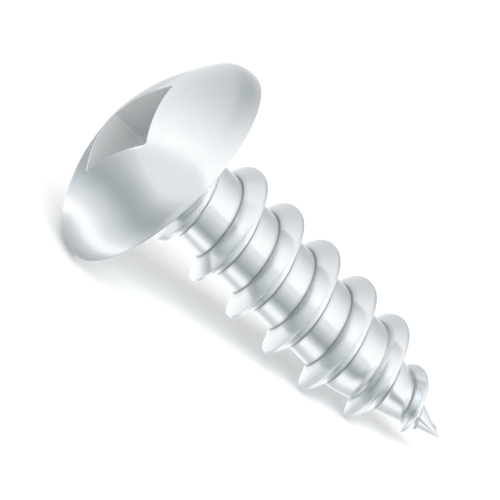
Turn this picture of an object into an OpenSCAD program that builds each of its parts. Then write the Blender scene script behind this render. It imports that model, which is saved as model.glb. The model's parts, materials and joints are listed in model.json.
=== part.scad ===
// Truss head self-tapping screw with a square drive and a gimlet point
//
// One cold-headed and thread-rolled steel piece. It is drawn first in the screw's own frame,
// with the bearing face at z = 0 and +z along the axis towards the point, and is then laid
// down as it comes to rest on a table: on the rim of its head and on two crests of its thread.

/* [Head] */
// Diameter of the head at its rim
head_d = 9.7; // [9:0.1:10.2]
// Height of the dome above the bearing face
head_h = 2.56; // [2.3:0.02:2.9]
// Radius of the dome's crown
crown_r = 7.1; // [6.8:0.1:8]
// Height of the upright band round the rim
rim_land = 0.12; // [0.1:0.01:0.2]
// Rounding of the rim's lower edge
rim_edge_r = 0.08; // [0.04:0.01:0.1]

/* [Square drive] */
// Width of the recess across its flats, at the mouth
drive_w = 3.32; // [3:0.02:3.4]
// Depth of the recess below the crown, to the foot of its walls
drive_depth = 1.8; // [1.4:0.1:1.9]
// Lean of each wall of the recess, in degrees
drive_taper = 1.5; // [1:0.5:2]
// Depth of the pyramid that the punch leaves in the floor
drive_floor_h = 0.25; // [0.1:0.05:0.3]

/* [Neck] */
// Diameter of the plain neck under the head
neck_d = 3.7; // [3.5:0.05:3.8]
// Radius of the fillet between the neck and the bearing face
neck_fillet_r = 0.6; // [0.56:0.02:0.7]
// Distance from the bearing face to the end of the plain neck
neck_l = 0.75; // [0.7:0.05:0.9]
// Length of the cone between the neck and the core of the thread
neck_cone_l = 0.6; // [0.4:0.1:0.8]

/* [Thread] */
// Length from the bearing face to the point
length = 15.875; // [14:0.125:20]
// Diameter over the crests
major_d = 4.8; // [4.6:0.02:4.9]
// Diameter of the core
minor_d = 3.2; // [3.1:0.05:3.4]
// Threads in one inch
threads_per_inch = 12; // [11:1:14]
// Angle between the two flanks of the thread, in degrees
flank_angle = 60; // [55:1:60]
// Width of the flat along the crest
crest_w = 0.12; // [0.08:0.01:0.16]
// Size of the blend where a flank meets the core
root_blend = 0.1; // [0.06:0.01:0.14]
// Where the thread starts to rise under the head
run_in_start = 0.55; // [0.4:0.05:0.7]
// Length over which it rises to its full height
run_in_l = 2.2; // [1.8:0.1:2.6]
// Distance from the bearing face to the crest on the side of the recess's first corner
crest_phase = 3.47; // [2.5:0.01:4.5]

/* [Point] */
// Length of the taper of the core
core_taper_l = 4.8; // [4:0.1:5.5]
// Fullness of the core's taper, where 1 is a straight cone
core_fullness = 1.15; // [1:0.05:1.4]
// Length over which the crests come down to the point
crest_taper_l = 5.3; // [4.8:0.1:6]
// Fullness of the crests' taper
crest_fullness = 1.6; // [1.3:0.05:1.8]

/* [Smoothness] */
// Facets in one turn of the thread
turn_steps = 48; // [36:4:60]

/* [Hidden] */

finish = "silver";
inch = 25.4;
// Facets of a true circle where the solid is shown as a mesh
round_fn = 128;
// How far a cutting or joining solid runs past the face that it meets
past = 0.3;
// How far the last profile of the thread stays short of the point
tip_gap = 0.1;
// The least share of its full width that the tooth keeps where it starts
least_share = 0.15;

// Head: the shoulder's arc touches the crown's arc inside and ends upright at the rim
head_r = head_d / 2;
crown_z = crown_r - head_h;
shoulder_r = (pow(crown_r, 2) - pow(head_r, 2) - pow(crown_z + rim_land, 2))
    / (2 * (crown_r - head_r));
shoulder_x = head_r - shoulder_r;
// Where the two arcs meet
tangent_x = crown_r * shoulder_x / (crown_r - shoulder_r);

// Square drive: the half diagonal of the recess at its mouth and at its foot
drive_mouth_z = -head_h - past;
drive_foot_z = -head_h + drive_depth;
drive_mouth_r = (drive_w / 2 + past * tan(drive_taper)) * sqrt(2);
drive_foot_r = (drive_w / 2 - drive_depth * tan(drive_taper)) * sqrt(2);

// Neck and thread
neck_r = neck_d / 2;
major_r = major_d / 2;
minor_r = minor_d / 2;
// The neck's cone runs on into the core, to this radius and this distance along the axis
neck_cone_r = minor_r - past;
neck_cone_end = neck_l + neck_cone_l * (neck_r - neck_cone_r) / (neck_r - minor_r);
pitch = inch / threads_per_inch;
flank_l = (major_r - minor_r) * tan(flank_angle / 2);
core_taper_z = length - core_taper_l;
crest_taper_z = length - crest_taper_l;

// The thread is one strip that winds round the axis. Each of its stations carries the
// profile of the tooth, whose last point joins the first point of the next turn.
first_crest_z = -pitch;
last_crest_z = length - tip_gap;
stations = floor((last_crest_z - first_crest_z) / pitch * turn_steps);
tooth_points = 6;

// Radius of the core at a distance z from the bearing face
function core_r(z) =
    z < core_taper_z
        ? minor_r
        : minor_r * (1 - pow((z - core_taper_z) / core_taper_l, core_fullness));

// Radius of the crest, which rises under the head and comes down towards the point
function crest_r(z) =
    z < run_in_start
        ? minor_r
        : z < run_in_start + run_in_l
            ? minor_r + (major_r - minor_r) * sin(90 * (z - run_in_start) / run_in_l)
            : z < crest_taper_z
                ? major_r
                : major_r * (1 - pow((z - crest_taper_z) / crest_taper_l, crest_fullness));

// Distance of the crest from the bearing face at a station, and its bearing about the axis
function station_z(i) = first_crest_z + pitch * i / turn_steps;
function station_turn(i) = 360 * (station_z(i) - crest_phase) / pitch;

// How much of its full height the tooth has at a station
function tooth_share(z) = (crest_r(z) - core_r(z)) / (major_r - minor_r);

// The tooth's profile: distance along the axis from its middle, and share of its height.
// It keeps some width where it has no height, and narrows as it nears the point.
function tooth(share, room) =
    let (
        foot = crest_w / 2 + flank_l * max(share, least_share),
        reach = foot + root_blend / 2,
        narrow = min(1, room / (2 * reach)),
        blend_rise = root_blend / (4 * flank_l)
    )
    [
        [-reach * narrow, 0],
        [(root_blend / 2 - foot) * narrow, blend_rise],
        [-crest_w / 2 * narrow, 1],
        [crest_w / 2 * narrow, 1],
        [(foot - root_blend / 2) * narrow, blend_rise],
        [reach * narrow, 0]
    ];

// A point of the strip, from its station and its place in the tooth's profile
function strip_point(i, k) =
    let (
        mid = station_z(i),
        place = tooth(tooth_share(mid), length - mid)[k],
        z = mid + place[0],
        r = core_r(z) + (crest_r(mid) - core_r(z)) * place[1]
    )
    [r * cos(station_turn(i)), r * sin(station_turn(i)), z];

// Number of a point in the strip, where the point after a profile is one turn further on
function number(i, k) =
    k < tooth_points ? i * tooth_points + k : (i + turn_steps) * tooth_points;

// Rest: the tilt at which a crest touches the table while the rim of the head stands on it
function touch_tilt(r, z) =
    let (rise = head_r - rim_edge_r - r, run = z + rim_edge_r)
    atan2(rise, run) + asin(rim_edge_r / norm([rise, run]));

// The tilt at which the first of the crests meets the table, for a given roll of the screw
function tilt_at(roll) =
    min([
        for (i = [floor(stations / 2):stations])
            let (z = station_z(i))
            touch_tilt(crest_r(z) * cos(station_turn(i) - roll), z + crest_w / 2)
    ]);

// It rolls until two crests bear, because there the tilt is greatest and the weight lowest
roll_step = 3;
rolls = [for (roll = [0:roll_step:360 - roll_step]) [tilt_at(roll), roll]];
rest_tilt = max([for (pair = rolls) pair[0]]);
rest_roll = [for (pair = rolls) if (pair[0] == rest_tilt) pair[1]][0];

// The origin is under the middle of the length that the lying screw covers
rest_x = -(length * cos(rest_tilt) + crown_z * cos(rest_tilt) - crown_r) / 2;
rest_z = (head_r - rim_edge_r) * cos(rest_tilt) - rim_edge_r * sin(rest_tilt) + rim_edge_r;

// Half section of the dome, with its true arcs
module dome_profile() {
    intersection() {
        translate([0, crown_z]) circle(r = crown_r, $fn = round_fn);
        translate([0, -head_h]) square([tangent_x, head_h]);
    }
    intersection() {
        translate([shoulder_x, -rim_land]) circle(r = shoulder_r, $fn = round_fn);
        translate([0, -rim_land - shoulder_r]) square([head_r, shoulder_r]);
    }
    translate([0, -rim_land]) square([head_r, rim_land - rim_edge_r]);
    translate([0, -rim_edge_r]) square([head_r - rim_edge_r, rim_edge_r]);
    translate([head_r - rim_edge_r, -rim_edge_r]) circle(r = rim_edge_r, $fn = round_fn);
}

// Half section of the neck: the fillet under the head, the plain part and its cone
module neck_profile() {
    difference() {
        square([neck_r + neck_fillet_r, neck_fillet_r]);
        translate([neck_r + neck_fillet_r, neck_fillet_r]) circle(r = neck_fillet_r, $fn = round_fn);
    }
    polygon([
        [0, -past],
        [neck_r, -past],
        [neck_r, neck_l],
        [neck_cone_r, neck_cone_end],
        [0, neck_cone_end]
    ]);
}

module head() {
    rotate_extrude($fn = round_fn) {
        dome_profile();
        neck_profile();
    }
}

// Core, thread and point as one closed strip, capped inside the head and at the point
module threaded_shank() {
    points = [
        for (i = [0:stations]) for (k = [0:tooth_points - 1]) strip_point(i, k),
        [0, 0, first_crest_z],
        [0, 0, length]
    ];
    inner_end = (stations + 1) * tooth_points;
    apex = inner_end + 1;
    flanks = [
        for (i = [0:stations - 1]) for (k = [0:tooth_points - 1])
            if (k < tooth_points - 1 || i + turn_steps < stations)
                each [
                    [number(i, k), number(i, k + 1), number(i + 1, k + 1)],
                    [number(i, k), number(i + 1, k + 1), number(i + 1, k)]
                ]
    ];
    inner_rim = [
        for (i = [0:turn_steps]) number(i, 0),
        for (k = [tooth_points - 1:-1:1]) number(0, k)
    ];
    outer_rim = [
        for (i = [stations:-1:stations - turn_steps]) number(i, tooth_points - 1),
        for (k = [0:tooth_points - 2]) number(stations, k)
    ];
    caps = [
        for (i = [0:len(inner_rim) - 1])
            [inner_end, inner_rim[i], inner_rim[(i + 1) % len(inner_rim)]],
        for (i = [0:len(outer_rim) - 1])
            [apex, outer_rim[i], outer_rim[(i + 1) % len(outer_rim)]]
    ];
    polyhedron(points = points, faces = concat(flanks, caps), convexity = 10);
}

// The square recess: a half section turned in four steps, so one corner points along x
module square_drive() {
    rotate_extrude($fn = 4)
        polygon([
            [0, drive_mouth_z],
            [drive_mouth_r, drive_mouth_z],
            [drive_foot_r, drive_foot_z],
            [0, drive_foot_z + drive_floor_h]
        ]);
}

module screw() {
    color(finish)
        translate([rest_x, 0, rest_z])
            rotate([0, 90 + rest_tilt, 0])
                rotate([0, 0, -rest_roll])
                    difference() {
                        union() {
                            head();
                            threaded_shank();
                        }
                        square_drive();
                    }
}

screw();
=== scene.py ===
"""Truss head self-tapping screw: its thread and head in full detail, its finish and a small studio.

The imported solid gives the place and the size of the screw. One closed mesh stands for it here,
with a finer thread, a rounded edge round the square recess and rounded crests and roots. Sizes
are in millimetres in the screw's own frame, whose origin is the middle of the bearing face and
whose +z runs along the axis to the point, until the mesh is laid down in the frame of the CAD.
"""
import json
import logging
import math
from dataclasses import dataclass, field
from enum import Enum
from typing import Any

import bmesh
import bpy
from mathutils import Matrix, Vector


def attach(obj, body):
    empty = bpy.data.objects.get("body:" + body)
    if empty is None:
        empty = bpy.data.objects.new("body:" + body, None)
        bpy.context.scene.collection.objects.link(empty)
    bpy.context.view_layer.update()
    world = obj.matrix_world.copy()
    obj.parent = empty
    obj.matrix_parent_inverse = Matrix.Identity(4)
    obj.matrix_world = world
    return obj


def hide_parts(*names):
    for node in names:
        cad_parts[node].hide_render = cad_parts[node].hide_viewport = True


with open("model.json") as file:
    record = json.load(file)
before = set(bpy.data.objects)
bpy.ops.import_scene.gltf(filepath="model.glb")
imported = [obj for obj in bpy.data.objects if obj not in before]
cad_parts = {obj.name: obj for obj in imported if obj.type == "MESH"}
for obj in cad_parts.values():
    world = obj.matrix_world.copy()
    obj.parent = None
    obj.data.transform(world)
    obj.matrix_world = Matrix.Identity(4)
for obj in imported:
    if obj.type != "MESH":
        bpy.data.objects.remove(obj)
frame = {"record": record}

LOG = logging.getLogger("screw")
MM = 0.001
INCH = 25.4
THREADS_PER_INCH = 12
FULL_TURN = 2 * math.pi
# Points closer than this, in millimetres, are one point
SAME_POINT = 0.0001
# Edges that turn more than this stay crisp
CRISP_ANGLE = math.radians(32)
# Points round the screw, in the thread and in the head alike; a multiple of 8
TURN_STEPS = 216
# The mesh's own measure of how near a point is to a root of the thread, from 0 to 1; it sets the
# painted shade along the roots
ROOT_SHADE_NAME = "root"

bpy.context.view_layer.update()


class NodeKind(Enum):
    """The kinds of node that the trees of this script are made of."""

    MATH = "ShaderNodeMath"
    VECTOR_MATH = "ShaderNodeVectorMath"
    SEPARATE = "ShaderNodeSeparateXYZ"
    COMBINE = "ShaderNodeCombineXYZ"
    MIX_COLOUR = "ShaderNodeMix"
    MIX_SHADER = "ShaderNodeMixShader"
    RAMP = "ShaderNodeValToRGB"
    RANGE = "ShaderNodeMapRange"
    NOISE = "ShaderNodeTexNoise"
    BUMP = "ShaderNodeBump"
    COORDINATES = "ShaderNodeTexCoord"
    ATTRIBUTE = "ShaderNodeAttribute"
    MAPPING = "ShaderNodeMapping"
    GEOMETRY = "ShaderNodeNewGeometry"
    LIGHT_PATH = "ShaderNodeLightPath"
    METAL = "ShaderNodeBsdfPrincipled"
    DIFFUSE = "ShaderNodeBsdfDiffuse"
    EMISSION = "ShaderNodeEmission"
    BACKGROUND = "ShaderNodeBackground"
    CLEAR = "ShaderNodeBsdfTransparent"
    ADD_SHADER = "ShaderNodeAddShader"
    SURFACE_OUT = "ShaderNodeOutputMaterial"
    WORLD_OUT = "ShaderNodeOutputWorld"
    GROUP_IN = "NodeGroupInput"
    GROUP_OUT = "NodeGroupOutput"
    GRID = "GeometryNodeMeshGrid"
    INDEX = "GeometryNodeInputIndex"
    POSITION = "GeometryNodeInputPosition"
    SAMPLE = "GeometryNodeSampleIndex"
    PLACE = "GeometryNodeSetPosition"
    STORE = "GeometryNodeStoreNamedAttribute"
    MERGE = "GeometryNodeMergeByDistance"
    REALIZE = "GeometryNodeRealizeInstances"
    DRESS = "GeometryNodeSetMaterial"


def linear(hex_colour: str) -> tuple[float, ...]:
    """Turns an sRGB hex colour into linear light.

    Args:
        hex_colour: the colour, such as "#C8CED0".

    Returns:
        Red, green and blue in linear light, and an alpha of 1.
    """
    parts = [int(hex_colour[i:i + 2], 16) / 255 for i in (1, 3, 5)]
    light = [c / 12.92 if c <= 0.04045 else ((c + 0.055) / 1.055) ** 2.4 for c in parts]
    return (*light, 1.0)


def put_in_scene(name: str, data: bpy.types.ID) -> bpy.types.Object:
    """Makes an object of a mesh, a light or a camera, and puts it in the scene.

    Args:
        name: the object's name.
        data: what it shows.

    Returns:
        The object.
    """
    made = bpy.data.objects.new(name, data)
    bpy.context.scene.collection.objects.link(made)
    return made


def bare_tree(owner: bpy.types.Material | bpy.types.World) -> bpy.types.NodeTree:
    """Returns the emptied node tree of a new material or world."""
    owner.use_nodes = True
    owner.node_tree.nodes.clear()
    return owner.node_tree


def add_node(
    tree: bpy.types.NodeTree,
    kind: NodeKind,
    inputs: dict[int | str, Any] | None = None,
    **settings: Any,
) -> bpy.types.Node:
    """Adds a node, sets it up and links it.

    Args:
        tree: the node tree that takes the node.
        kind: what the node is.
        inputs: for each input socket, by number or name, a value or the socket it is linked from.
        settings: properties of the node itself.

    Returns:
        The new node.
    """
    node = tree.nodes.new(kind.value)
    for name, value in settings.items():
        setattr(node, name, value)
    for name, value in (inputs or {}).items():
        if isinstance(value, bpy.types.NodeSocket):
            tree.links.new(value, node.inputs[name])
        else:
            node.inputs[name].default_value = value
    return node


def mix_colours(
    tree: bpy.types.NodeTree, share: bpy.types.NodeSocket, first: Any, second: Any
) -> bpy.types.NodeSocket:
    """Mixes two colours.

    Args:
        tree: the tree that takes the node.
        share: the socket of how much of the second colour shows.
        first: the first colour, or its socket.
        second: the second colour, or its socket.

    Returns:
        The socket of the mix.
    """
    inputs = {0: share, 6: first, 7: second}
    return add_node(tree, NodeKind.MIX_COLOUR, inputs, data_type="RGBA").outputs[2]


def set_stops(ramp: bpy.types.Node, stops: tuple[tuple[float, str], ...]) -> None:
    """Gives a colour ramp its stops.

    Args:
        ramp: the colour ramp node.
        stops: pairs of a position from 0 to 1 and an sRGB hex colour, in rising order.
    """
    elements = ramp.color_ramp.elements
    while len(elements) < len(stops):
        elements.new(1.0)
    for element, (position, colour) in zip(elements, stops):
        element.position = position
        element.color = linear(colour)


@dataclass(frozen=True)
class Placing:
    """Where the screw lies: on the rim of its head and on two crests of its thread."""

    origin: Vector
    axis: Vector
    # The turn about its axis at which two crests bear, so the weight is lowest
    rest_roll: float = math.radians(102)

    @classmethod
    def from_record(cls, record: dict[str, Any]) -> "Placing":
        """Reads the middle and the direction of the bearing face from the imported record.

        Args:
            record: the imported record.

        Returns:
            The placing of the screw in the frame of the CAD.
        """
        mount = next(m for m in record["mounts"] if m["name"] == "bearing_face")
        return cls(Vector(mount["pos_m"]), Vector(mount["axis"]).normalized())

    def turn(self) -> Matrix:
        """Returns the turn that takes the screw's own axes to those of the CAD."""
        dip = math.atan2(-self.axis.z, self.axis.x)
        laid = Matrix.Rotation(math.pi / 2 + dip, 4, "Y")
        return laid @ Matrix.Rotation(-self.rest_roll, 4, "Z")

    def matrix(self) -> Matrix:
        """Returns the matrix from the screw's own millimetres to metres in the CAD's frame."""
        return Matrix.Translation(self.origin) @ self.turn() @ Matrix.Scale(MM, 4)


def own_place(tree: bpy.types.NodeTree, placing: Placing) -> bpy.types.NodeSocket:
    """Finds a point's place in the screw's own millimetres, for a pattern that follows its axis.

    Args:
        tree: the material's tree.
        placing: where the screw lies.

    Returns:
        The socket of the place.
    """
    back = placing.matrix().inverted()
    coordinates = add_node(tree, NodeKind.COORDINATES)
    return add_node(
        tree, NodeKind.MAPPING,
        {"Vector": coordinates.outputs["Object"], "Location": back.to_translation(),
         "Rotation": back.to_euler(), "Scale": (1 / MM, 1 / MM, 1 / MM)},
        vector_type="POINT",
    ).outputs[0]


@dataclass(frozen=True)
class BrightZinc:
    """Bright zinc plate on cold-headed and thread-rolled steel.

    The plate is a few thousandths of a millimetre thick and follows the steel under it. It gives
    a cool, light grey mirror, blurred a little by the grain of the deposit. The rolled thread
    keeps faint lines that run with the helix, and the head the faint clouds of the heading die.
    The current of the bath hardly reaches the roots of the thread, so a thin line along each
    root is duller; that line is also painted darker, which is painted shade in the crease.
    """

    name: str = "bright_zinc_plate"
    colour: str = "#E9EBEC"
    cloud_colour: str = "#E3E5E7"
    # Painted shade in the crease of each root of the thread
    root_shade_colour: str = "#7B8184"
    roughness: float = 0.14
    cloud_roughness: float = 0.19
    root_roughness: float = 0.35
    # Sizes of the clouds of the deposit, the grain and the rolling lines, in millimetres. The
    # real grain is under 0.01 mm: it is drawn as coarse as it needs to show.
    cloud_size: float = 0.9
    grain_size: float = 0.07
    roll_line: float = 0.10
    grain_height: float = 0.0006
    line_height: float = 0.0010
    # Values of the cloud noise between which the roughness goes from its least to its most
    cloud_range: tuple[float, float] = (0.3, 0.7)
    pitch: float = INCH / THREADS_PER_INCH
    # The rolling lines start where the plain neck ends, and fade in over this length
    thread_start: float = 0.75
    thread_fade: float = 0.8

    def material(self, placing: Placing) -> bpy.types.Material:
        """Builds the finish.

        Args:
            placing: where the screw lies, because the rolling lines follow its own axis.

        Returns:
            The material.
        """
        material = bpy.data.materials.new(self.name)
        tree = bare_tree(material)
        own = own_place(tree, placing)
        clouds = add_node(
            tree, NodeKind.NOISE, {"Vector": own, "Scale": 1 / self.cloud_size, "Detail": 3.0}
        ).outputs[0]
        colour = mix_colours(tree, clouds, linear(self.colour), linear(self.cloud_colour))
        low, high = self.cloud_range
        rough = add_node(
            tree, NodeKind.RANGE,
            {"Value": clouds, "From Min": low, "From Max": high,
             "To Min": self.roughness, "To Max": self.cloud_roughness},
        )
        # Painted shade along the roots: a darker colour there, with a duller finish
        root = add_node(tree, NodeKind.ATTRIBUTE, attribute_name=ROOT_SHADE_NAME).outputs["Fac"]
        shaded = mix_colours(tree, root, colour, linear(self.root_shade_colour))
        dulled = add_node(
            tree, NodeKind.MIX_COLOUR, {0: root, 2: rough.outputs[0], 3: self.root_roughness}
        )
        metal = add_node(
            tree, NodeKind.METAL,
            {"Base Color": shaded, "Roughness": dulled.outputs[0], "Metallic": 1.0,
             "Normal": self.relief(tree, own)},
        )
        add_node(tree, NodeKind.SURFACE_OUT, {"Surface": metal.outputs[0]})
        return material

    def relief(self, tree: bpy.types.NodeTree, own: bpy.types.NodeSocket) -> bpy.types.NodeSocket:
        """Makes the grain of the plate and the lines of the thread rolling.

        Args:
            tree: the material's tree.
            own: the socket with the place in the screw's own millimetres.

        Returns:
            The socket of the bumped normal.
        """
        grain = add_node(
            tree, NodeKind.NOISE, {"Vector": own, "Scale": 1 / self.grain_size, "Detail": 2.0}
        )
        grained = add_node(
            tree, NodeKind.BUMP,
            {"Strength": 1.0, "Distance": self.grain_height * MM, "Height": grain.outputs[0]},
        )
        lines, fade = self.rolling_lines(tree, own)
        return add_node(
            tree, NodeKind.BUMP,
            {"Strength": fade, "Distance": self.line_height * MM, "Height": lines,
             "Normal": grained.outputs[0]},
        ).outputs[0]

    def rolling_lines(
        self, tree: bpy.types.NodeTree, own: bpy.types.NodeSocket
    ) -> tuple[bpy.types.NodeSocket, bpy.types.NodeSocket]:
        """Makes lines that depend on the place across the thread's profile and not along it.

        Args:
            tree: the material's tree.
            own: the socket with the place in the screw's own millimetres.

        Returns:
            The height of the lines, and how strongly they show there.
        """
        place = add_node(tree, NodeKind.SEPARATE, {0: own})
        x, y, z = place.outputs[:3]
        sockets = {"x": x, "y": y, "z": z}
        ring = self.pitch / (FULL_TURN * self.roll_line)
        add_formula(tree, sockets, (
            ("bearing", "ARCTAN2", "y", "x"),
            ("turn", "DIVIDE", "bearing", FULL_TURN),
            ("turns_along", "DIVIDE", "z", self.pitch),
            ("phase", "SUBTRACT", "turns_along", "turn"),
            ("phase_angle", "MULTIPLY", "phase", FULL_TURN),
            ("phase_cos", "COSINE", "phase_angle"),
            ("phase_sin", "SINE", "phase_angle"),
            ("across", "MULTIPLY", "phase_cos", ring),
            ("over", "MULTIPLY", "phase_sin", ring),
            ("x_squared", "MULTIPLY", "x", "x"),
            ("r_squared", "MULTIPLY_ADD", "y", "y", "x_squared"),
            ("r", "SQRT", "r_squared"),
            ("up", "DIVIDE", "r", self.roll_line),
        ))
        profile = add_node(
            tree, NodeKind.COMBINE,
            {0: sockets["across"], 1: sockets["over"], 2: sockets["up"]},
        )
        lines = add_node(
            tree, NodeKind.NOISE, {"Vector": profile.outputs[0], "Scale": 1.0, "Detail": 2.0}
        )
        fade = add_node(
            tree, NodeKind.RANGE,
            {"Value": z, "From Min": self.thread_start,
             "From Max": self.thread_start + self.thread_fade},
        )
        return lines.outputs[0], fade.outputs[0]


@dataclass(frozen=True)
class PunchedZinc:
    """Zinc plate inside the punched recess.

    The punch drags the steel, and the plate is thinner and duller down there, because the
    current of the bath hardly reaches the inside of a deep corner. Its grey is darker than the
    plate outside, which is painted shade in the recess, and flatter, with fine streaks down the
    walls.
    """

    name: str = "punched_zinc_plate"
    # Darker than the plate outside: painted shade inside the recess
    colour: str = "#D2D3D4"
    streak_colour: str = "#C5C7C8"
    roughness: float = 0.5
    # How much of it mirrors as metal: the rest is the dull film on the starved deposit
    metallic: float = 0.45
    # Width and length of the streaks that the punch leaves, in millimetres
    streak_width: float = 0.08
    streak_length: float = 1.6
    streak_height: float = 0.002

    def material(self, placing: Placing) -> bpy.types.Material:
        """Builds the finish.

        Args:
            placing: where the screw lies, because the streaks run along its axis.

        Returns:
            The material.
        """
        material = bpy.data.materials.new(self.name)
        tree = bare_tree(material)
        drawn = add_node(
            tree, NodeKind.VECTOR_MATH,
            {0: own_place(tree, placing),
             1: (1 / self.streak_width, 1 / self.streak_width, 1 / self.streak_length)},
            operation="MULTIPLY",
        )
        streaks = add_node(
            tree, NodeKind.NOISE, {"Vector": drawn.outputs[0], "Scale": 1.0, "Detail": 2.0}
        ).outputs[0]
        colour = mix_colours(tree, streaks, linear(self.colour), linear(self.streak_colour))
        bump = add_node(
            tree, NodeKind.BUMP,
            {"Strength": 1.0, "Distance": self.streak_height * MM, "Height": streaks},
        )
        metal = add_node(
            tree, NodeKind.METAL,
            {"Base Color": colour, "Roughness": self.roughness,
             "Metallic": self.metallic, "Normal": bump.outputs[0]},
        )
        add_node(tree, NodeKind.SURFACE_OUT, {"Surface": metal.outputs[0]})
        return material


def add_formula(
    tree: bpy.types.NodeTree,
    sockets: dict[str, bpy.types.NodeSocket],
    steps: tuple[tuple[Any, ...], ...],
) -> None:
    """Writes a formula into a node tree, one math node for each step.

    Args:
        tree: the tree that takes the nodes.
        sockets: the values known so far by name, to which each step adds its result.
        steps: the result's name, the operation, and its operands as names or numbers.
    """
    for result, operation, *operands in steps:
        values = {i: sockets.get(value, value) for i, value in enumerate(operands)}
        node = add_node(tree, NodeKind.MATH, values, operation=operation)
        sockets[result] = node.outputs[0]


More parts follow.
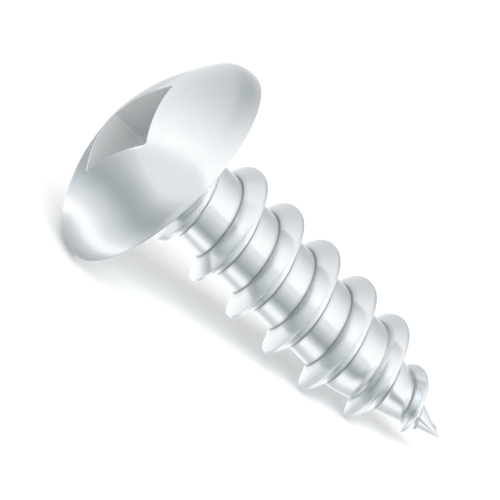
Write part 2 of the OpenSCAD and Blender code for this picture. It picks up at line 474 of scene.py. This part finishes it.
@dataclass
class Shank:
    """Neck, rolled thread and gimlet point, as a surface that one formula gives.

    The radius follows from the distance along the axis and from the nearest crest of the helix.
    The mesh winds with the helix, so its rows lie along the crests, the flanks and the roots.
    """

    length: float = 15.875
    major_d: float = 4.8
    minor_d: float = 3.2
    flank_angle: float = math.radians(60)
    crest_w: float = 0.12
    crest_blend: float = 0.03
    root_blend: float = 0.10
    # Height over which the painted shade along a root fades, and the tooth that has the full painted
    # shade
    root_line: float = 0.12
    lined_height: float = 0.3
    run_in_start: float = 0.55
    run_in_l: float = 2.2
    crest_phase: float = 3.47
    core_taper_l: float = 4.8
    core_fullness: float = 1.15
    crest_taper_l: float = 5.3
    crest_fullness: float = 1.6
    neck_d: float = 3.7
    neck_l: float = 0.75
    neck_cone_l: float = 0.6
    neck_blend: float = 0.05
    # Where this surface starts: the end of the fillet under the head
    start: float = 0.6
    # Length of the last cone, where all that is nearer to the point is drawn in to it
    point_length: float = 0.03
    # Rows of the mesh on each side of a crest: on its edge, its flank, its root and the core
    edge_rows: int = 3
    flank_rows: int = 5
    root_rows: int = 5
    core_rows: int = 4

    @property
    def pitch(self) -> float:
        """Distance from one crest to the next along the axis."""
        return INCH / THREADS_PER_INCH

    @property
    def flank_slope(self) -> float:
        """How much the radius falls for each millimetre along the axis on a flank."""
        return 1 / math.tan(self.flank_angle / 2)

    def row_offsets(self) -> list[float]:
        """Distances of the mesh's rows from the crest, closest where the profile bends."""
        edge = self.crest_w / 2
        foot = edge + (self.major_d - self.minor_d) / 2 / self.flank_slope
        reach = self.crest_blend / self.flank_slope
        blend = self.root_blend / self.flank_slope
        marks = (
            (edge - reach, edge + reach, self.edge_rows),
            (edge + reach, foot - blend, self.flank_rows),
            (foot - blend, foot + blend, self.root_rows),
            (foot + blend, self.pitch / 2, self.core_rows),
        )
        half = [edge - reach]
        for low, high, count in marks:
            half += [low + (high - low) * (i + 1) / count for i in range(count)]
        return [-offset for offset in reversed(half)] + [0.0] + half

    def inputs(self) -> dict[str, float]:
        """Returns the tree's inputs by name, in millimetres."""
        first_turn = math.floor((self.start - self.pitch / 2 - self.crest_phase) / self.pitch)
        last_turn = math.ceil((self.length + self.pitch / 2 - self.crest_phase) / self.pitch)
        return {
            "stations": (last_turn - first_turn) * TURN_STEPS + 1,
            "rows": len(self.row_offsets()),
            "turn steps": TURN_STEPS,
            "first crest": self.crest_phase + first_turn * self.pitch,
            "pitch": self.pitch,
            "start": self.start,
            "length": self.length,
            "point length": self.point_length,
            "core radius": self.minor_d / 2,
            "crest radius": self.major_d / 2,
            "half crest": self.crest_w / 2,
            "flank slope": self.flank_slope,
            "crest blend": self.crest_blend,
            "root blend": self.root_blend,
            "root line": self.root_line,
            "lined height": self.lined_height,
            "run-in start": self.run_in_start,
            "run-in length": self.run_in_l,
            "core taper start": self.length - self.core_taper_l,
            "core taper length": self.core_taper_l,
            "core fullness": self.core_fullness,
            "crest taper start": self.length - self.crest_taper_l,
            "crest taper length": self.crest_taper_l,
            "crest fullness": self.crest_fullness,
            "neck radius": self.neck_d / 2,
            "neck length": self.neck_l,
            "neck slope": (self.neck_d - self.minor_d) / 2 / self.neck_cone_l,
            "neck blend": self.neck_blend,
        }

    @staticmethod
    def taper(result: str, at: str, which: str) -> tuple[tuple[Any, ...], ...]:
        """Returns the steps of a radius that comes down to the point.

        Args:
            result: the name that the radius gets.
            at: the name of the distance along the axis at which it is taken.
            which: "core" or "crest", whose taper it is.
        """
        return (
            (f"{result} past", "SUBTRACT", at, f"{which} taper start"),
            (f"{result} share", "DIVIDE", f"{result} past", f"{which} taper length"),
            (f"{result} from", "MAXIMUM", f"{result} share", 0.0),
            (f"{result} loss", "POWER", f"{result} from", f"{which} fullness"),
            (f"{result} kept", "SUBTRACT", 1.0, f"{result} loss"),
            (result, "MULTIPLY", f"{result} kept", f"{which} radius"),
        )

    def radius_steps(self) -> tuple[tuple[Any, ...], ...]:
        """Returns the formula of the surface, from a row's offset to a point's coordinates."""
        return (
            ("turn", "DIVIDE", "station", "turn steps"),
            ("bearing", "MULTIPLY", "turn", FULL_TURN),
            ("crest z", "MULTIPLY_ADD", "turn", "pitch", "first crest"),
            ("free z", "ADD", "crest z", "offset"),
            ("held z", "MAXIMUM", "free z", "start"),
            ("to point", "SUBTRACT", "length", "held z"),
            ("at point", "LESS_THAN", "to point", "point length"),
            ("z", "MULTIPLY_ADD", "at point", "to point", "held z"),
            *self.taper("core", "z", "core"),
            *self.taper("cone", "z", "crest"),
            *self.taper("full crest", "crest z", "crest"),
            ("rise past", "SUBTRACT", "crest z", "run-in start"),
            ("rise share", "DIVIDE", "rise past", "run-in length"),
            ("rise from", "MAXIMUM", "rise share", 0.0),
            ("rise to", "MINIMUM", "rise from", 1.0),
            ("rise angle", "MULTIPLY", "rise to", math.pi / 2),
            ("rise", "SINE", "rise angle"),
            ("full height", "SUBTRACT", "full crest", "core radius"),
            ("crest", "MULTIPLY_ADD", "full height", "rise", "core radius"),
            ("along", "SUBTRACT", "z", "crest z"),
            ("away", "ABSOLUTE", "along"),
            ("past flat", "SUBTRACT", "away", "half crest"),
            ("fall", "MULTIPLY", "past flat", "flank slope"),
            ("flank", "SUBTRACT", "crest", "fall"),
            ("tooth", "SMOOTH_MIN", "crest", "flank", "crest blend"),
            ("neck past", "SUBTRACT", "z", "neck length"),
            ("neck fall", "MULTIPLY", "neck past", "neck slope"),
            ("neck cone", "SUBTRACT", "neck radius", "neck fall"),
            ("neck", "SMOOTH_MIN", "neck radius", "neck cone", "neck blend"),
            ("shaft", "SMOOTH_MAX", "core", "neck", "neck blend"),
            ("threaded", "SMOOTH_MAX", "shaft", "tooth", "root blend"),
            ("r", "MINIMUM", "threaded", "cone"),
            # The mask of the painted shade along each root: near the root, on teeth that are high
            # enough
            ("between", "SUBTRACT", "shaft", "tooth"),
            ("apart", "ABSOLUTE", "between"),
            ("share apart", "DIVIDE", "apart", "root line"),
            ("near", "SUBTRACT", 1.0, "share apart"),
            ("near root", "MAXIMUM", "near", 0.0),
            ("height", "SUBTRACT", "crest", "shaft"),
            ("share high", "DIVIDE", "height", "lined height"),
            ("high", "MAXIMUM", "share high", 0.0),
            ("high enough", "MINIMUM", "high", 1.0),
            (ROOT_SHADE_NAME, "MULTIPLY", "near root", "high enough"),
            ("bearing cos", "COSINE", "bearing"),
            ("bearing sin", "SINE", "bearing"),
            ("x", "MULTIPLY", "r", "bearing cos"),
            ("y", "MULTIPLY", "r", "bearing sin"),
        )

    def tree(self) -> bpy.types.NodeTree:
        """Builds the Geometry Nodes tree that winds the thread's profile along the helix.

        Returns:
            The tree. Its first input is the profile, one vertex for each row of the mesh.
        """
        tree = bpy.data.node_groups.new("rolled_thread", "GeometryNodeTree")
        tree.interface.new_socket("Profile", in_out="INPUT", socket_type="NodeSocketGeometry")
        for name, value in self.inputs().items():
            kind = "NodeSocketInt" if isinstance(value, int) else "NodeSocketFloat"
            tree.interface.new_socket(name, in_out="INPUT", socket_type=kind)
        tree.interface.new_socket("Finish", in_out="INPUT", socket_type="NodeSocketMaterial")
        tree.interface.new_socket("Thread", in_out="OUTPUT", socket_type="NodeSocketGeometry")
        given = add_node(tree, NodeKind.GROUP_IN).outputs
        sockets = {name: given[name] for name in self.inputs()}
        sockets["index"] = add_node(tree, NodeKind.INDEX).outputs[0]
        add_formula(tree, sockets, (
            ("exact station", "DIVIDE", "index", "rows"),
            ("station", "FLOOR", "exact station"),
            ("row start", "MULTIPLY", "station", "rows"),
            ("row", "SUBTRACT", "index", "row start"),
        ))
        here = add_node(tree, NodeKind.POSITION)
        profile = add_node(
            tree, NodeKind.SAMPLE,
            {"Geometry": given["Profile"], "Value": here.outputs[0], "Index": sockets["row"]},
            data_type="FLOAT_VECTOR", domain="POINT",
        )
        sockets["offset"] = add_node(
            tree, NodeKind.SEPARATE, {0: profile.outputs[0]}
        ).outputs[0]
        add_formula(tree, sockets, self.radius_steps())
        place = add_node(
            tree, NodeKind.COMBINE, {0: sockets["x"], 1: sockets["y"], 2: sockets["z"]}
        )
        grid = add_node(
            tree, NodeKind.GRID,
            {"Vertices X": sockets["stations"], "Vertices Y": sockets["rows"]},
        )
        placed = add_node(
            tree, NodeKind.PLACE, {"Geometry": grid.outputs[0], "Position": place.outputs[0]}
        )
        marked = add_node(
            tree, NodeKind.STORE,
            {"Geometry": placed.outputs[0], "Name": ROOT_SHADE_NAME, "Value": sockets[ROOT_SHADE_NAME]},
            data_type="FLOAT", domain="POINT",
        )
        merged = add_node(
            tree, NodeKind.MERGE, {"Geometry": marked.outputs[0], "Distance": SAME_POINT}
        )
        real = add_node(tree, NodeKind.REALIZE, {"Geometry": merged.outputs[0]})
        dressed = add_node(
            tree, NodeKind.DRESS, {"Geometry": real.outputs[0], "Material": given["Finish"]}
        )
        add_node(tree, NodeKind.GROUP_OUT, {0: dressed.outputs[0]})
        return tree

    def mesh(self, finish: bpy.types.Material) -> bpy.types.Mesh:
        """Runs the tree and returns its result as a plain mesh, in the screw's own millimetres.

        Args:
            finish: the material that the tree sets.

        Returns:
            The surface of the shank, open at the neck and closed at the point.
        """
        profile = bpy.data.meshes.new("thread_profile")
        profile.from_pydata([(offset, 0, 0) for offset in self.row_offsets()], [], [])
        carrier = put_in_scene("thread_profile", profile)
        modifier = carrier.modifiers.new("rolled_thread", "NODES")
        modifier.node_group = self.tree()
        values = {**self.inputs(), "Finish": finish}
        for item in modifier.node_group.interface.items_tree:
            if item.in_out == "INPUT" and item.name in values:
                modifier[item.identifier] = values[item.name]
        graph = bpy.context.evaluated_depsgraph_get()
        made = bpy.data.meshes.new_from_object(carrier.evaluated_get(graph))
        carrier.modifiers.clear()
        bpy.data.objects.remove(carrier)
        return made


@dataclass
class Head:
    """Truss head: a low dome with a square recess, a rounded rim and a fillet to the neck.

    Its surface is a stack of closed rings, from the middle of the recess out over the dome,
    round the rim, in under the head and down the fillet to where the shank starts.
    """

    head_d: float = 9.7
    head_h: float = 2.56
    crown_r: float = 7.1
    rim_land: float = 0.12
    rim_edge_r: float = 0.08
    drive_w: float = 3.32
    drive_depth: float = 1.8
    drive_taper: float = math.radians(1.5)
    drive_floor_h: float = 0.25
    neck_d: float = 3.7
    neck_fillet_r: float = 0.6
    # Rounding of the recess's upright corners and of the edge of its mouth
    corner_r: float = 0.1
    mouth_r: float = 0.05
    # Radius from which the dome's rings are evenly spaced circles
    even_r: float = 3.0
    # Points in half of a corner's rounding
    corner_steps: int = 6
    floor_rings: int = 5
    wall_rings: int = 10
    mouth_rings: int = 4
    dome_rings: int = 9
    crown_rings: int = 8
    shoulder_rings: int = 14
    edge_rings: int = 5
    under_rings: int = 5
    fillet_rings: int = 10

    @property
    def rim_r(self) -> float:
        """Radius of the head at its rim."""
        return self.head_d / 2

    @property
    def shoulder_r(self) -> float:
        """Radius of the shoulder's arc, which touches the crown and ends upright at the rim."""
        crown_z = self.crown_r - self.head_h
        rest = self.crown_r ** 2 - self.rim_r ** 2 - (crown_z + self.rim_land) ** 2
        return rest / (2 * (self.crown_r - self.rim_r))

    def dome_z(self, r: float) -> float:
        """Height of the crown's arc at a radius, below the bearing face as a negative number."""
        return self.crown_r - self.head_h - math.sqrt(self.crown_r ** 2 - r ** 2)

    def wall_half(self, z: float) -> float:
        """Half the width of the recess across its flats, at a depth."""
        return self.drive_w / 2 - (z + self.head_h) * math.tan(self.drive_taper)

    def square_point(self, half: float, step: int) -> tuple[Vector, Vector]:
        """Finds a point of the square with rounded corners, whose first corner is on +x.

        Args:
            half: half the width across the flats.
            step: the point's number, from 0 at the first corner.

        Returns:
            The point and the outward normal there, in the plane.
        """
        side_steps = TURN_STEPS // 4
        side, place = divmod(step + side_steps // 2, side_steps)
        from_corner = place - side_steps // 2
        flat_steps = side_steps // 2 - self.corner_steps
        sign = math.copysign(1, from_corner)
        on_flat = abs(from_corner) - self.corner_steps
        eighth = math.pi / 4
        if on_flat <= 0:
            angle = eighth * from_corner / self.corner_steps
            normal = Vector((math.cos(angle), math.sin(angle)))
            point = Vector(((half - self.corner_r) * math.sqrt(2), 0)) + normal * self.corner_r
        else:
            normal = Vector((math.cos(eighth), sign * math.sin(eighth)))
            run = Vector((-normal.y, normal.x)) * sign
            share = 1 - on_flat / flat_steps
            point = normal * half - run * (half - self.corner_r) * share
        turn = Matrix.Rotation(side * math.pi / 2, 2)
        return turn @ point, turn @ normal

    def circle(self, r: float, z: float) -> list[Vector]:
        """Returns a ring of evenly spaced points."""
        angles = [FULL_TURN * step / TURN_STEPS for step in range(TURN_STEPS)]
        return [Vector((r * math.cos(a), r * math.sin(a), z)) for a in angles]

    def mouth(self) -> list[tuple[Vector, Vector, Vector]]:
        """Finds the edge of the recess's mouth.

        Returns:
            For each step the last point of the wall, the sharp corner that the rounding takes
            off, and the first point of the dome.
        """
        edge = []
        for step in range(TURN_STEPS):
            plan, _ = self.square_point(self.wall_half(-self.head_h), step)
            z = self.dome_z(plan.length)
            plan, normal = self.square_point(self.wall_half(z), step)
            low_plan, _ = self.square_point(self.wall_half(z + self.mouth_r), step)
            out_plan = plan + normal * self.mouth_r
            edge.append((
                low_plan.to_3d() + Vector((0, 0, z + self.mouth_r)),
                plan.to_3d() + Vector((0, 0, z)),
                out_plan.to_3d() + Vector((0, 0, self.dome_z(out_plan.length))),
            ))
        return edge

    def recess(self, edge: list[tuple[Vector, Vector, Vector]]) -> list[list[Vector]]:
        """Makes the rings of the recess, from its floor up to the start of the mouth's rounding.

        Args:
            edge: the mouth, from mouth().

        Returns:
            The rings, without the single point in the middle of the floor.
        """
        foot_z = self.drive_depth - self.head_h
        foot_half = self.wall_half(foot_z)
        foot = [self.square_point(foot_half, step)[0] for step in range(TURN_STEPS)]
        rings = []
        for i in range(1, self.floor_rings + 1):
            share = i / self.floor_rings
            z = foot_z + self.drive_floor_h * (1 - share)
            rings.append([(point * share).to_3d() + Vector((0, 0, z)) for point in foot])
        for i in range(1, self.wall_rings + 1):
            share = i / self.wall_rings
            rings.append([
                low.lerp(high, share) for low, (high, _, _) in zip(rings[self.floor_rings - 1], edge)
            ])
        return rings

    def dome(self, edge: list[tuple[Vector, Vector, Vector]]) -> list[list[Vector]]:
        """Makes the rings from the mouth's rounding out over the dome to the rim.

        Args:
            edge: the mouth, from mouth().

        Returns:
            The rings.
        """
        rings = []
        for i in range(1, self.mouth_rings + 1):
            share = i / self.mouth_rings
            rings.append([
                wall.lerp(corner, share).lerp(corner.lerp(out, share), share)
                for wall, corner, out in edge
            ])
        even = self.circle(self.even_r, 0)
        for i in range(1, self.dome_rings + 1):
            share = i / self.dome_rings
            ring = []
            for (_, _, out), far in zip(edge, even):
                plan = out.to_2d().lerp(far.to_2d(), share)
                ring.append(plan.to_3d() + Vector((0, 0, self.dome_z(plan.length))))
            rings.append(ring)
        shoulder_x = self.rim_r - self.shoulder_r
        meet = math.asin(shoulder_x / (self.crown_r - self.shoulder_r))
        start = math.asin(self.even_r / self.crown_r)
        crown_z = self.crown_r - self.head_h
        for i in range(1, self.crown_rings + 1):
            angle = start + (meet - start) * i / self.crown_rings
            rings.append(self.circle(
                self.crown_r * math.sin(angle), crown_z - self.crown_r * math.cos(angle)
            ))
        for i in range(1, self.shoulder_rings + 1):
            angle = meet + (math.pi / 2 - meet) * i / self.shoulder_rings
            rings.append(self.circle(
                shoulder_x + self.shoulder_r * math.sin(angle),
                -self.rim_land - self.shoulder_r * math.cos(angle),
            ))
        return rings

    def underside(self) -> list[list[Vector]]:
        """Makes the rings round the rim's lower edge, in under the head and down the fillet."""
        rings = []
        edge_x = self.rim_r - self.rim_edge_r
        for i in range(self.edge_rings + 1):
            angle = math.pi / 2 * i / self.edge_rings
            rings.append(self.circle(
                edge_x + self.rim_edge_r * math.cos(angle),
                self.rim_edge_r * (math.sin(angle) - 1),
            ))
        fillet_x = self.neck_d / 2 + self.neck_fillet_r
        for i in range(1, self.under_rings + 1):
            rings.append(self.circle(edge_x + (fillet_x - edge_x) * i / self.under_rings, 0))
        for i in range(1, self.fillet_rings + 1):
            angle = math.pi / 2 * i / self.fillet_rings
            rings.append(self.circle(
                fillet_x - self.neck_fillet_r * math.sin(angle),
                self.neck_fillet_r * (1 - math.cos(angle)),
            ))
        return rings

    def add_to(self, mesh: bmesh.types.BMesh) -> None:
        """Adds the head's faces to a mesh, those of the recess with the second material.

        Args:
            mesh: the mesh that takes them, in the screw's own millimetres.
        """
        edge = self.mouth()
        recess = self.recess(edge)
        rings = recess + self.dome(edge) + self.underside()
        made = [[mesh.verts.new(point) for point in ring] for ring in rings]
        middle = mesh.verts.new((0, 0, self.drive_depth - self.head_h + self.drive_floor_h))
        for step in range(TURN_STEPS):
            after = (step + 1) % TURN_STEPS
            mesh.faces.new((middle, made[0][step], made[0][after])).material_index = 1
            for number, (inner, outer) in enumerate(zip(made, made[1:]), start=1):
                face = mesh.faces.new((inner[step], outer[step], outer[after], inner[after]))
                face.material_index = int(number < len(recess))


@dataclass
class Screw:
    """The whole screw, one closed mesh that stands for the CAD solid."""

    placing: Placing
    head: Head = field(default_factory=Head)
    shank: Shank = field(default_factory=Shank)
    finish: BrightZinc = field(default_factory=BrightZinc)
    recess_finish: PunchedZinc = field(default_factory=PunchedZinc)

    def build(self) -> bpy.types.Object:
        """Makes the screw and lays it where the CAD solid lies.

        Returns:
            The finished piece.
        """
        plate = self.finish.material(self.placing)
        mesh = self.shank.mesh(plate)
        work = bmesh.new()
        work.from_mesh(mesh)
        for face in work.faces:
            face.material_index = 0
        self.head.add_to(work)
        bmesh.ops.remove_doubles(work, verts=work.verts, dist=SAME_POINT)
        bmesh.ops.recalc_face_normals(work, faces=work.faces)
        work.transform(self.placing.matrix())
        open_edges = sum(1 for edge in work.edges if not edge.is_manifold)
        triangles = sum(len(face.verts) - 2 for face in work.faces)
        LOG.info("screw: %d triangles, %d open edges", triangles, open_edges)
        # Cleared first, because clearing the materials of a full mesh forgets who has which
        mesh.materials.clear()
        mesh.materials.append(plate)
        mesh.materials.append(self.recess_finish.material(self.placing))
        work.to_mesh(mesh)
        work.free()
        mesh.shade_smooth()
        mesh.set_sharp_from_angle(angle=CRISP_ANGLE)
        mesh.name = "zinc_plated_screw"
        piece = put_in_scene("zinc_plated_screw", mesh)
        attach(piece, "root")
        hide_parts("screw")
        return piece


@dataclass
class Studio:
    """A white sheet in a light tent, as a small bright piece of metal is photographed.

    Bright metal shows its surroundings, so what it mirrors is laid out here in soft bands of painted
    reflection that only the metal sees: the lit sheet close under it, painted grey round that, and
    a tent whose wall is brightest a little above the horizon and duller overhead and at the back.
    """

    placing: Placing
    # The sheet, as the lens sees it
    sheet_colour: str = "#F4F5F5"
    sheet_glow: float = 0.10
    sheet_size: float = 6.0
    # Strength of everything that the metal mirrors
    mirrored_light: float = 1.24
    # How much brighter the tent is where it is mirrored once more, so the flanks of the
    # thread, which show the core and the next flank, stay as light as the rest
    mirrored_again: float = 0.30
    # Painted reflection that the head mirrors of the sheet: long ovals of painted light and shade,
    # which its dome shows as straight bands. Their middle is at this x, and of the distance from it
    # this share counts along x.
    oval_x: float = 7.4
    oval_share: float = 0.41
    by_head: tuple[tuple[float, str], ...] = (
        (5.8, "#A2A8AB"), (6.4, "#B0B5B8"), (6.8, "#CFD3D5"), (7.1, "#FBFCFC"),
        (7.4, "#FFFFFF"), (8.0, "#E0E3E5"), (9.2, "#C5CACC"), (10.6, "#ACB2B5"),
        (12.5, "#A3A9AC"), (15.0, "#ABB0B3"), (22.0, "#B5BABD"), (40.0, "#CBCFD0"),
    )
    # Painted reflection that the shank mirrors of it, bands of painted light and shade by the
    # distance in millimetres in front of its axis
    by_shank: tuple[tuple[float, str], ...] = (
        (-1.8, "#F8FAFA"), (-0.4, "#F0F3F4"), (0.3, "#C8CDCF"), (1.0, "#D4D8DA"),
        (1.6, "#F8FAFA"), (2.4, "#FAFBFB"), (3.0, "#DADEE0"), (3.7, "#BAC0C2"),
        (5.0, "#9DA3A6"), (7.5, "#B4B9BB"), (16.0, "#CACED0"), (40.0, "#D6D9DA"),
    )
    # Where the one gives way to the other, along x in millimetres
    head_to_shank: tuple[float, float] = (-7.5, -4.5)
    # Painted reflection that the flanks of the thread show of the sheet after the core, as a second
    # mirror: one soft band of painted shade, by the same distance in front of the axis
    by_flank: tuple[tuple[float, str], ...] = (
        (-1.0, "#FFFFFF"), (0.3, "#D0D5D7"), (1.8, "#B9BEC0"), (3.5, "#CFD4D6"),
        (7.5, "#EBEFF0"), (22.0, "#FBFCFC"),
    )
    # The tent: way to the zenith of its bands, foot and top of the brightest, and its dull colour
    tent_way: tuple[float, float, float] = (0.42, 0.52, 1.0)
    bright_foot: float = 0.05
    bright_top: float = 0.14
    dull_colour: str = "#A5ABAE"
    # How fast it dulls over the brightest band, and the way in which it dulls faster
    dull_above: float = 0.63
    dull_way: tuple[float, float, float] = (-0.35, 0.50, 0.0)
    # How fast it dulls under the brightest band, and how dull it gets there
    dull_below: float = 3.5
    dull_horizon: float = 0.37
    # The key light, a softbox over the camera's side, and the even light of the tent
    key_at: tuple[float, float, float] = (-0.08, -0.36, 0.36)
    key_size: float = 0.5
    key_power: float = 3.2
    tent_light: float = 0.68
    # Camera: it looks down on the screw's axis at this angle from it, along the first corner
    view_angle: float = math.radians(68.5)
    picture_px: float = 500
    px_per_mm: float = 26.2
    bearing_px: tuple[float, float] = (166.8, 166.1)
    camera_distance: float = 0.6
    sensor: float = 36.0

    def camera(self) -> None:
        """Places the camera as the picture's view has it."""
        turn = self.placing.turn()
        axis = (turn @ Vector((0, 0, 1, 0))).to_3d()
        corner = (turn @ Vector((1, 0, 0, 0))).to_3d()
        side = -(turn @ Vector((0, 1, 0, 0))).to_3d()
        back = corner * math.sin(self.view_angle) - axis * math.cos(self.view_angle)
        along = axis * math.sin(self.view_angle) + corner * math.cos(self.view_angle)
        right = (along + side).normalized()
        up = (side - along).normalized()
        px = MM / self.px_per_mm
        centre = self.picture_px / 2
        target = (
            self.placing.origin
            + right * (centre - self.bearing_px[0]) * px
            - up * (centre - self.bearing_px[1]) * px
        )
        data = bpy.data.cameras.new("camera")
        data.sensor_width = self.sensor
        data.lens = self.sensor * self.camera_distance / (self.picture_px * px)
        data.clip_start = self.camera_distance / 10
        data.clip_end = self.sheet_size * 2
        camera = put_in_scene("camera", data)
        pose = Matrix((right, up, back)).transposed().to_4x4()
        camera.matrix_world = Matrix.Translation(target + back * self.camera_distance) @ pose
        bpy.context.scene.camera = camera

    def key_light(self) -> None:
        """Hangs the softbox that throws the screw's soft shadow."""
        data = bpy.data.lights.new("softbox", "AREA")
        data.shape = "SQUARE"
        data.size = self.key_size
        data.energy = self.key_power
        lamp = put_in_scene("softbox", data)
        lamp.location = self.key_at
        lamp.rotation_mode = "QUATERNION"
        lamp.rotation_quaternion = Vector(self.key_at).to_track_quat("Z", "Y")
        lamp.visible_glossy = False

    def sheet(self) -> None:
        """Lays the white sheet, and gives it what the metal mirrors of it."""
        half = self.sheet_size / 2
        mesh = bpy.data.meshes.new("white_sheet")
        corners = [(-half, -half, 0), (half, -half, 0), (half, half, 0), (-half, half, 0)]
        mesh.from_pydata(corners, [], [(0, 1, 2, 3)])
        mesh.materials.append(self.sheet_material())
        put_in_scene("white_sheet", mesh)

    def sheet_material(self) -> bpy.types.Material:
        """Builds the matt white paper, which is clear from below.

        Returns:
            The material.
        """
        material = bpy.data.materials.new("matt_white_paper")
        tree = bare_tree(material)
        path = add_node(tree, NodeKind.LIGHT_PATH)
        paper = add_node(tree, NodeKind.DIFFUSE, {"Color": linear(self.sheet_colour)})
        glow = add_node(
            tree, NodeKind.EMISSION,
            {"Color": linear(self.sheet_colour), "Strength": self.sheet_glow},
        )
        lit = add_node(tree, NodeKind.ADD_SHADER, {0: paper.outputs[0], 1: glow.outputs[0]})
        # Glossy rays see bands of painted reflection here instead of the lit paper
        mirrored = add_node(
            tree, NodeKind.EMISSION,
            {"Color": self.painted_sheet_reflection(tree), "Strength": self.mirrored_light},
        )
        seen = add_node(
            tree, NodeKind.MIX_SHADER,
            {0: path.outputs["Is Glossy Ray"], 1: lit.outputs[0], 2: mirrored.outputs[0]},
        )
        clear = add_node(tree, NodeKind.CLEAR)
        geometry = add_node(tree, NodeKind.GEOMETRY)
        sided = add_node(
            tree, NodeKind.MIX_SHADER,
            {0: geometry.outputs["Backfacing"], 1: seen.outputs[0], 2: clear.outputs[0]},
        )
        add_node(tree, NodeKind.SURFACE_OUT, {"Surface": sided.outputs[0]})
        return material

    def tent_strength(self, tree: bpy.types.NodeTree) -> bpy.types.NodeSocket:
        """Returns the socket of the tent's strength where the metal mirrors it, once or more."""
        path = add_node(tree, NodeKind.LIGHT_PATH)
        sockets = {"times": path.outputs["Glossy Depth"]}
        add_formula(tree, sockets, (
            ("more", "SUBTRACT", "times", 1.0),
            ("share", "MULTIPLY_ADD", "more", self.mirrored_again, 1.0),
            ("strength", "MULTIPLY", "share", self.mirrored_light),
        ))
        return sockets["strength"]

    @staticmethod
    def bands(
        tree: bpy.types.NodeTree,
        distance: bpy.types.NodeSocket,
        stops: tuple[tuple[float, str], ...],
    ) -> bpy.types.NodeSocket:
        """Colours bands by a distance.

        Args:
            tree: the sheet's tree.
            distance: the socket of the distance, in metres.
            stops: pairs of a distance in millimetres and a colour, in rising order.

        Returns:
            The socket of the colour.
        """
        first, last = stops[0][0], stops[-1][0]
        share = add_node(
            tree, NodeKind.RANGE,
            {"Value": distance, "From Min": first * MM, "From Max": last * MM},
        )
        ramp = add_node(tree, NodeKind.RAMP, {0: share.outputs[0]})
        set_stops(ramp, tuple(((at - first) / (last - first), hue) for at, hue in stops))
        return ramp.outputs[0]

    def painted_sheet_reflection(self, tree: bpy.types.NodeTree) -> bpy.types.NodeSocket:
        """Colours the sheet as the metal mirrors it.

        Args:
            tree: the sheet's tree.

        Returns:
            The socket of the colour.
        """
        # Painted reflection: bands of painted light and shade that only glossy rays see; the lens
        # sees the sheet white
        coordinates = add_node(tree, NodeKind.COORDINATES)
        place = add_node(tree, NodeKind.SEPARATE, {0: coordinates.outputs["Object"]})
        sockets = {"x": place.outputs[0], "y": place.outputs[1]}
        add_formula(tree, sockets, (
            ("from middle", "SUBTRACT", "x", self.oval_x * MM),
            ("lengthwise", "MULTIPLY", "from middle", self.oval_share),
            ("length squared", "MULTIPLY", "lengthwise", "lengthwise"),
            ("squared", "MULTIPLY_ADD", "y", "y", "length squared"),
            ("out", "SQRT", "squared"),
            ("in front", "MULTIPLY", "y", -1.0),
        ))
        start, end = self.head_to_shank
        beyond = add_node(
            tree, NodeKind.RANGE,
            {"Value": sockets["x"], "From Min": start * MM, "From Max": end * MM},
            interpolation_type="SMOOTHSTEP",
        )
        once = mix_colours(
            tree, beyond.outputs[0],
            self.bands(tree, sockets["out"], self.by_head),
            self.bands(tree, sockets["in front"], self.by_shank),
        )
        path = add_node(tree, NodeKind.LIGHT_PATH)
        again = add_node(
            tree, NodeKind.RANGE,
            {"Value": path.outputs["Glossy Depth"], "From Min": 1.0, "From Max": 2.0},
        )
        more_than_once = self.bands(tree, sockets["in front"], self.by_flank)
        return mix_colours(tree, again.outputs[0], once, more_than_once)

    def tent(self) -> None:
        """Puts up the tent: white to the lens, even light on the sheet, bands for the metal."""
        world = bpy.data.worlds.new("light_tent")
        tree = bare_tree(world)
        # For a world, this output is the direction of the ray
        way = add_node(tree, NodeKind.COORDINATES).outputs["Generated"]
        height = add_node(
            tree, NodeKind.VECTOR_MATH, {0: way, 1: self.tent_way}, operation="DOT_PRODUCT"
        )
        faster = add_node(
            tree, NodeKind.VECTOR_MATH, {0: way, 1: self.dull_way}, operation="DOT_PRODUCT"
        )
        sockets = {"height": height.outputs["Value"], "faster": faster.outputs["Value"]}
        add_formula(tree, sockets, (
            ("over", "SUBTRACT", "height", self.bright_top),
            ("above", "MAXIMUM", "over", 0.0),
            ("growth", "ADD", "faster", self.dull_above),
            ("dull above", "MULTIPLY", "above", "growth"),
            ("under", "SUBTRACT", self.bright_foot, "height"),
            ("below", "MAXIMUM", "under", 0.0),
            ("falling", "MULTIPLY", "below", self.dull_below),
            ("dull below", "MINIMUM", "falling", self.dull_horizon),
            ("dull", "ADD", "dull above", "dull below"),
        ))
        plain = linear("#FFFFFF")
        wall = mix_colours(tree, sockets["dull"], plain, linear(self.dull_colour))
        mirrored = add_node(
            tree, NodeKind.BACKGROUND, {"Color": wall, "Strength": self.tent_strength(tree)}
        )
        even = add_node(tree, NodeKind.BACKGROUND, {"Color": plain, "Strength": self.tent_light})
        white = add_node(tree, NodeKind.BACKGROUND, {"Color": plain, "Strength": 1.0})
        path = add_node(tree, NodeKind.LIGHT_PATH)
        to_metal = add_node(
            tree, NodeKind.MIX_SHADER,
            {0: path.outputs["Is Glossy Ray"], 1: even.outputs[0], 2: mirrored.outputs[0]},
        )
        to_lens = add_node(
            tree, NodeKind.MIX_SHADER,
            {0: path.outputs["Is Camera Ray"], 1: to_metal.outputs[0], 2: white.outputs[0]},
        )
        add_node(tree, NodeKind.WORLD_OUT, {"Surface": to_lens.outputs[0]})
        bpy.context.scene.world = world


def main() -> None:
    """Builds the screw and its studio."""
    logging.basicConfig(level=logging.INFO, format="%(name)s: %(message)s")
    bpy.context.scene.view_settings.view_transform = "Standard"
    placing = Placing.from_record(frame["record"])
    piece = Screw(placing).build()
    LOG.info("%s rides on root", piece.name)
    studio = Studio(placing)
    studio.camera()
    studio.key_light()
    studio.sheet()
    studio.tent()


if __name__ == "__main__":
    main()
